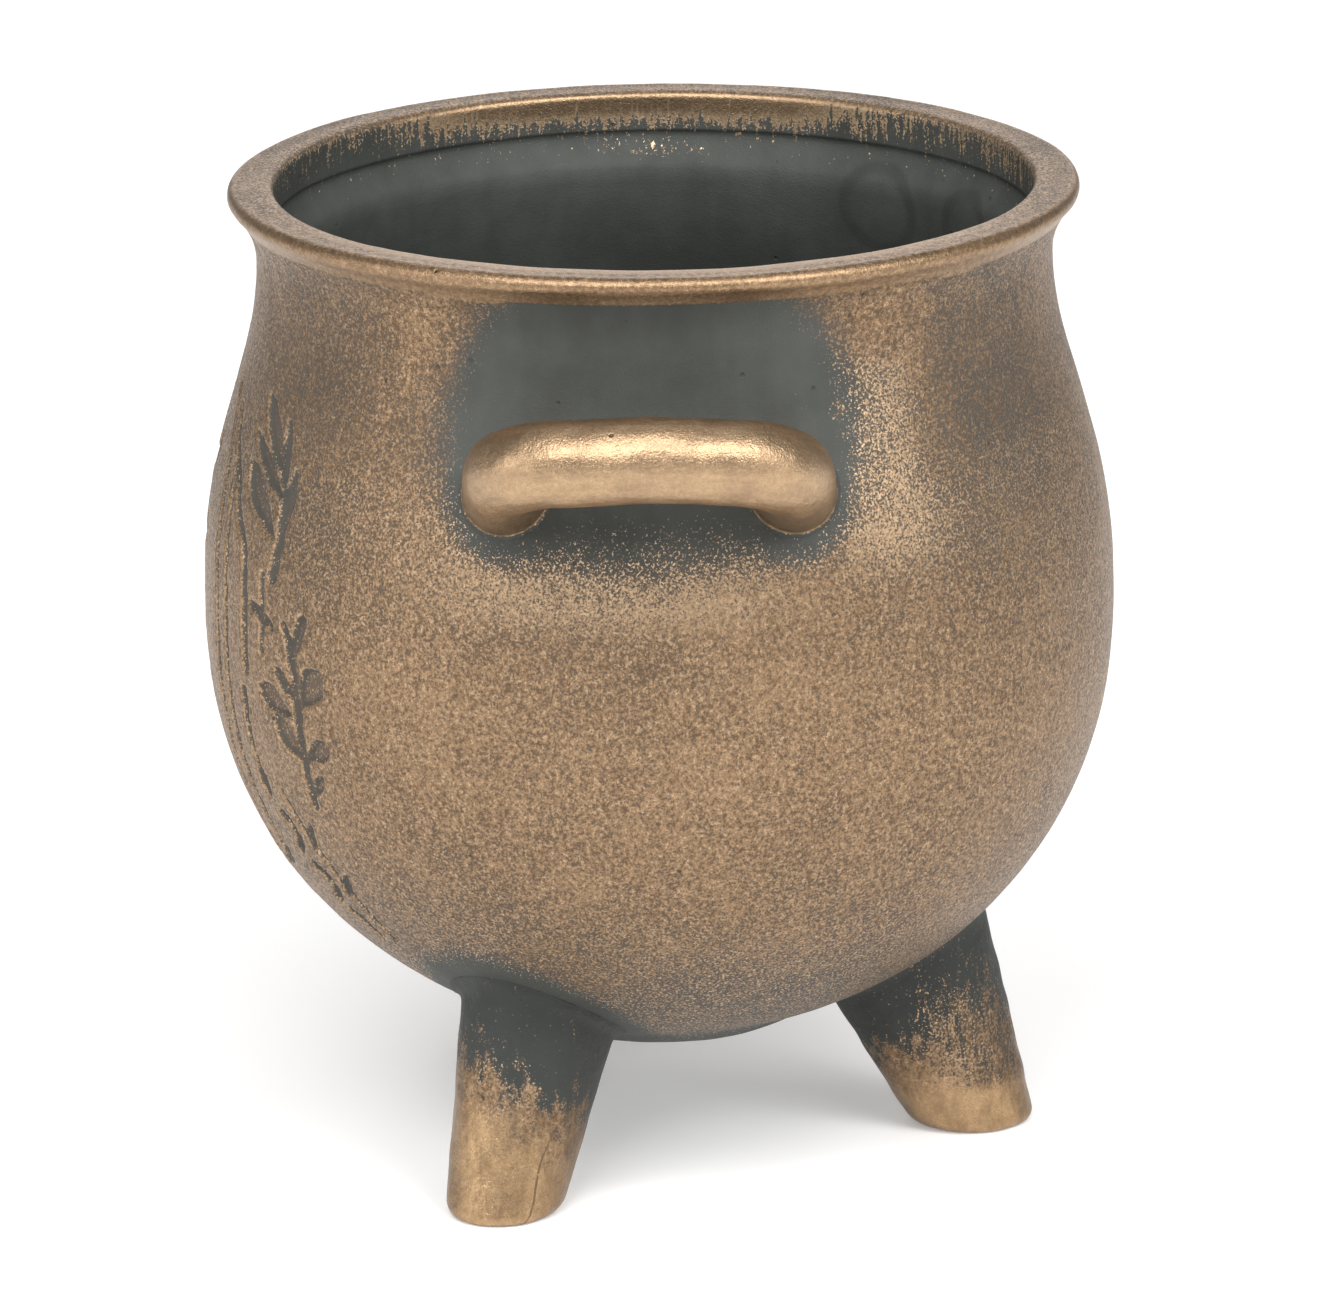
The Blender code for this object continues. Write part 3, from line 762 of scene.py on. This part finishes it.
def agedBronze(name, streak, seed, castLumps=0.0, seamed=False, slipShade=0.0, rubbedTone=paint["rubbed"]):
    # a dark slip under sponged bronze: paint shows where its coverage beats a speckle of noise
    f = Finish(name)
    body = f.node("ShaderNodeTexCoord", None, None, 3)
    spread = f.node("ShaderNodeVectorMath", {"operation": "SCALE"}, {0: body, 3: 1000.0})
    place = f.node("ShaderNodeVectorMath", {"operation": "ADD"}, {0: spread, 1: (seed * 17.3, seed * 9.1, seed * 4.7)})

    def nearTo(centre):
        # distance from a marked spot, in millimetres
        return f.node("ShaderNodeVectorMath", {"operation": "DISTANCE"}, {0: spread, 1: centre}, 1)

    grainPlace = f.field("grain", 1)
    gilt, groove, burnish, dry, flakeAndPaintedLight = (f.field(label) for label in ("gilt", "groove", "burnish", "dry", "flakeAndPaintedLight"))
    speck = f.noise(place, paint["speckSize"], 2.0, 0.7)
    grain = f.noise(place, paint["grainSize"], 1.0, 0.5)
    shade = f.noise(place, paint["shadeSize"], 2.0, 0.6)
    patch = f.noise(place, paint["patchSize"], 3.0, 0.6)
    cloud = f.noise(place, paint["cloudSize"], 2.0, 0.5)
    cast = f.noise(place, paint["castSize"], 3.0, 0.6)
    brushed = f.noise(f.stretched(grainPlace, streak), 1.0, 3.0, 0.6)
    streaks = f.noise(f.stretched(grainPlace, (1.3, 1.3, 0.20)), 1.0, 2.0, 0.6)
    cutDepth = (0.15 - groove).rising(0.0, 0.6)
    # painted shade on the walls of the cuts, as thinner bronze
    cutWallShade = groove.rising(-0.95, -0.45) * (1 - groove.rising(-0.1, 0.3))
    # painted highlight along the edges of the cuts, with a touch more bronze there
    ridgeHighlight = groove.rising(0.0, 0.25) * (1 - groove.rising(0.35, 0.8))
    # coverage: the painted amount, made uneven, streaky where the brush was dry, and thin in the cuts; thinner on the
    # cut walls as painted shade and a touch more on their edges as painted highlight
    cover = gilt + (cloud - 0.5) * 0.36 + (patch - 0.5) * 0.18 + (brushed - 0.5) * (0.36 + 0.6 * dry)
    cover = cover + (streaks - 0.5) * dry * 1.9 - cutDepth * 0.54 - cutWallShade * 0.30 + ridgeHighlight * 0.04
    cover = cover + (cast - 0.5) * castLumps * 0.6
    for centre, radius in marks["scuffs"]:
        away = nearTo(centre)
        ring = away.rising(radius - 0.9, radius - 0.1) * (1 - away.rising(radius + 0.1, radius + 0.8))
        cover = cover + ring * (patch - 0.1) * 0.9
    wanted = 0.5 + (speck - 0.5) * paint["speckContrast"] + (grain - 0.5) * 0.7
    mask = (cover - wanted).rising(-paint["edgeSoftness"], paint["edgeSoftness"] * 1.4)
    mask = mask.atLeast(burnish * (cover - wanted * 0.35).rising(0.05, 0.35))
    mist = (cover + cutDepth * 0.36).rising(0.10, 0.85)
    # pits are rare small holes in the glaze, dark in the middle
    pit = 1 - f.cells(place, paint["pitSpacing"]).rising(0.03, 0.065)
    smear = f.noise(f.stretched(place, (0.16, 0.16, 0.03)), 1.0, 3.0, 0.6)
    slipTone = (smear * 0.25 + cloud * 0.50 + patch * 0.25).rising(0.36, 0.68)
    slip = f.colour(slipTone, paint["slipDark"], paint["slipLight"])
    for centre, radius in marks["stains"]:
        away = nearTo(centre)
        ring = away.rising(radius - 2.4, radius - 0.6) * (1 - away.rising(radius + 0.2, radius + 1.4))
        slip = f.colour(ring * (cloud + 0.2) * 0.45, slip, paint["stain"])
    # painted shade: the legs' slip mixed towards a darker copy, as under the bowl
    slip = f.colour(slipShade, slip, paint["shadedSlip"])
    # pale dust with painted glints where a leg joins the bowl
    for centre, radius in marks["dustAndGlint"]:
        powderAndGlint = (1 - nearTo(centre).rising(0.5, radius)) * (cast + speck).rising(0.98, 1.20)
        slip = f.colour(powderAndGlint * 0.55, slip, paint["dustAndGlint"])
    slip = f.colour(cutDepth * 0.55, slip, paint["cutTone"])
    slip = f.colour(mist * 0.80, slip, paint["mist"])
    tone = 0.5 + (patch - 0.5) * 0.4 + (grain - 0.5) * 1.7 + (shade - 0.5) * 2.4 + (cloud - 0.5) * 0.4
    metal = f.colour(tone.rising(-0.05, 0.75), paint["bronzeDeep"], paint["bronze"])
    metal = f.colour((grain * 0.5 + shade * 0.5).rising(0.53, 0.68) * 0.50, metal, paint["bronzePale"])
    # loose flakes show pale where the paint thins out; along the carved edges the pale is a painted highlight
    flakes = (speck + grain * 0.5).rising(0.70, 0.52) * (1 - mist * 0.72) * flakeAndPaintedLight
    metal = f.colour((flakes * 0.9).atMost(0.9).atLeast(ridgeHighlight * 0.20), metal, paint["bronzePale"])
    # paler bronze where the field passes 1: inside the mouth and under a handle, and as painted highlight beside a
    # handle and down the legs
    metal = f.colour((flakeAndPaintedLight - 1).atLeast(0.0) * 0.75, metal, paint["bronzePale"])
    metal = f.colour((1 - cover.rising(0.35, 0.85)) * 0.45 * (1 - flakeAndPaintedLight), metal, paint["bronzeDeep"])
    metal = f.colour(burnish * 0.65, metal, rubbedTone)
    # painted shade: deep bronze down the sides of the legs, away from their painted highlight
    metal = f.colour((0.75 - flakeAndPaintedLight).atLeast(0.0) * castLumps * 1.1, metal, paint["bronzeDeep"])
    hollow = (1 - (patch * 0.5 + brushed * 0.5).rising(0.34, 0.60)) * castLumps
    pitted = (1 - grain.rising(0.30, 0.42)) * castLumps * 0.4
    metal = f.colour((hollow * 0.46).atLeast(pitted), metal, paint["bronzeDeep"])
    surface = f.colour(mask, slip, metal)
    surface = f.colour(pit * 0.7, surface, paint["pit"])
    crack = 0.0
    if seamed:  # the mould seam, a thin dark line that wanders
        off = f.field("seam") + (patch - 0.5) * 0.5
        crack = (1 - off.atLeast(0 - off).rising(0.06, 0.28)) * shade.rising(0.30, 0.46) * f.field("seamShow")
        surface = f.colour(crack * 0.60, surface, paint["seam"])
    for centre, radius in marks["chips"]:
        surface = f.colour(1 - nearTo(centre).rising(radius * 0.6, radius), surface, paint["chip"])
    f.feed(f.shader.inputs["Base Color"], surface)
    metallic = mask * (paint["metal"] - 0.35) + mist * 0.35 * (1 - cutDepth) + mask * burnish * 0.16
    f.feed(f.shader.inputs["Metallic"], metallic)
    rough = paint["slipRoughness"] + (grain - 0.5) * 0.16 - mask * (paint["slipRoughness"] - paint["giltRoughness"])
    rough = rough - burnish * mask * 0.05 + (cast - 0.5) * 0.25 * castLumps
    f.feed(f.shader.inputs["Roughness"], rough)
    f.feed(f.shader.inputs["Specular IOR Level"], paint["slipShine"])
    lump = mask * 0.35 + grain * 0.35 + speck * 0.6 + patch * 0.9 - pit * 1.4
    lump = lump + cast * castLumps * 2.4 + brushed * castLumps * 0.8 - crack * 1.5
    bump = f.node("ShaderNodeBump", None,
                  {"Strength": paint["bumpStrength"], "Distance": paint["bumpHeight"], "Height": lump})
    f.feed(f.shader.inputs["Normal"], bump)
    return f.material


# room, light and camera

room = {
    "floorSize": 9.0,
    "floorColour": (0.88, 0.88, 0.88),
    "floorGlow": 0.22,
    "airColour": (1.0, 1.0, 1.0),
    "airStrength": 0.28,
}
lamps = [
    # name, place, size, power, aimed at the pot's middle
    ("highLeft", (1.05, -0.42, 1.22), 1.05, 21.0),
    ("highRight", (0.88, 0.72, 1.22), 0.80, 14.5),
    ("sideRight", (0.73, 1.31, 0.80), 0.80, 7.0),
    ("sideLeft", (0.62, -1.45, 0.46), 0.80, 6.0),
    ("backSoft", (-1.90, 0.0, 0.95), 1.50, 10.0),
    ("topSoft", (-0.3, 0.0, 2.4), 2.0, 5.0),
]
eye = {
    "target": (0.0, 0.0, 0.08355),
    "distance": 1.6556,
    "rise": 16.21,
    "turn": 1.2,
    "roll": -0.78,
    "lens": 266.2,
}


def makeRoom():
    # a wide plain floor and an even sky, with large soft lamps aimed at the pot
    half = room["floorSize"] / 2
    mesh = bpy.data.meshes.new("floor")
    mesh.from_pydata([(-half, -half, 0), (half, -half, 0), (half, half, 0), (-half, half, 0)], [], [(0, 1, 2, 3)])
    floor = bpy.data.objects.new("floor", mesh)
    bpy.context.scene.collection.objects.link(floor)
    f = Finish("paleFloor")
    f.feed(f.shader.inputs["Base Color"], room["floorColour"])
    f.feed(f.shader.inputs["Roughness"], 0.9)
    f.feed(f.shader.inputs["Specular IOR Level"], 0.1)
    f.feed(f.shader.inputs["Emission Color"], (1.0, 1.0, 1.0))
    f.feed(f.shader.inputs["Emission Strength"], room["floorGlow"])
    mesh.materials.append(f.material)
    world = bpy.data.worlds.new("air")
    world.use_nodes = True
    world.node_tree.nodes["Background"].inputs["Color"].default_value = (*room["airColour"], 1)
    world.node_tree.nodes["Background"].inputs["Strength"].default_value = room["airStrength"]
    bpy.context.scene.world = world
    bpy.context.scene.view_settings.view_transform = "Standard"
    for name, place, size, power in lamps:
        light = bpy.data.lights.new(name, "AREA")
        light.shape, light.size, light.energy = "SQUARE", size, power
        lamp = bpy.data.objects.new(name, light)
        lamp.location = place
        lamp.visible_camera = False
        lamp.rotation_euler = (Vector(eye["target"]) - Vector(place)).to_track_quat("-Z", "Y").to_euler()
        bpy.context.scene.collection.objects.link(lamp)


def makeCamera():
    # placed by distance, rise and turn about the target, then rolled about its own axis
    rise, turn = math.radians(eye["rise"]), math.radians(eye["turn"])
    way = Vector((math.cos(rise) * math.cos(turn), math.cos(rise) * math.sin(turn), math.sin(rise)))
    data = bpy.data.cameras.new("eye")
    data.sensor_width, data.lens, data.clip_end = 36.0, eye["lens"], 30.0
    camera = bpy.data.objects.new("eye", data)
    camera.location = Vector(eye["target"]) + way * eye["distance"]
    aim = (-way).to_track_quat("-Z", "Y")
    camera.rotation_mode = "QUATERNION"
    camera.rotation_quaternion = aim @ Quaternion((0, 0, 1), math.radians(eye["roll"]))
    bpy.context.scene.collection.objects.link(camera)
    bpy.context.scene.camera = camera


makeCamera()
makeRoom()
print("camera and lights in place")

body = makePot()
handleRight = makeHandle("handleRight", "handle_right", 0.0, 31)
handleLeft = makeHandle("handleLeft", "handle_left", 180.0, 47)
legNear = makeLeg("legFrontRight", "leg_front_right", legSpots["leg_front_right"], 61,
                  {"height": 22.0, "slant": 7.0, "towards": 278.0, "fade": 6.5, "seam": 30.0, "highlightFacing": 352.0})
legFar = makeLeg("legBack", "leg_back", legSpots["leg_back"], 73,
                 {"height": 16.0, "slant": 3.0, "towards": 60.0, "fade": 5.5, "patchy": 38.0, "highlightFacing": 5.0})
legHidden = makeLeg("legFrontLeft", "leg_front_left", legSpots["leg_front_left"], 89,
                    {"height": 20.0, "slant": 4.0, "towards": 180.0, "fade": 8.0, "highlightFacing": 230.0})
print("clay shaped")

bodyPaint = agedBronze("bodyPaint", (0.42, 0.42, 0.09), 1, rubbedTone=paint["lipTone"])
handlePaint = agedBronze("handlePaint", (0.10, 0.75, 0.75), 2, 0.6)
legPaint = agedBronze("legPaint", (0.55, 0.55, 0.14), 3, 1.0, True, 0.55, paint["legTone"])
body.data.materials.append(bodyPaint)
for obj in (handleRight, handleLeft):
    obj.data.materials.append(handlePaint)
for obj in (legNear, legFar, legHidden):
    obj.data.materials.append(legPaint)
print("painted")
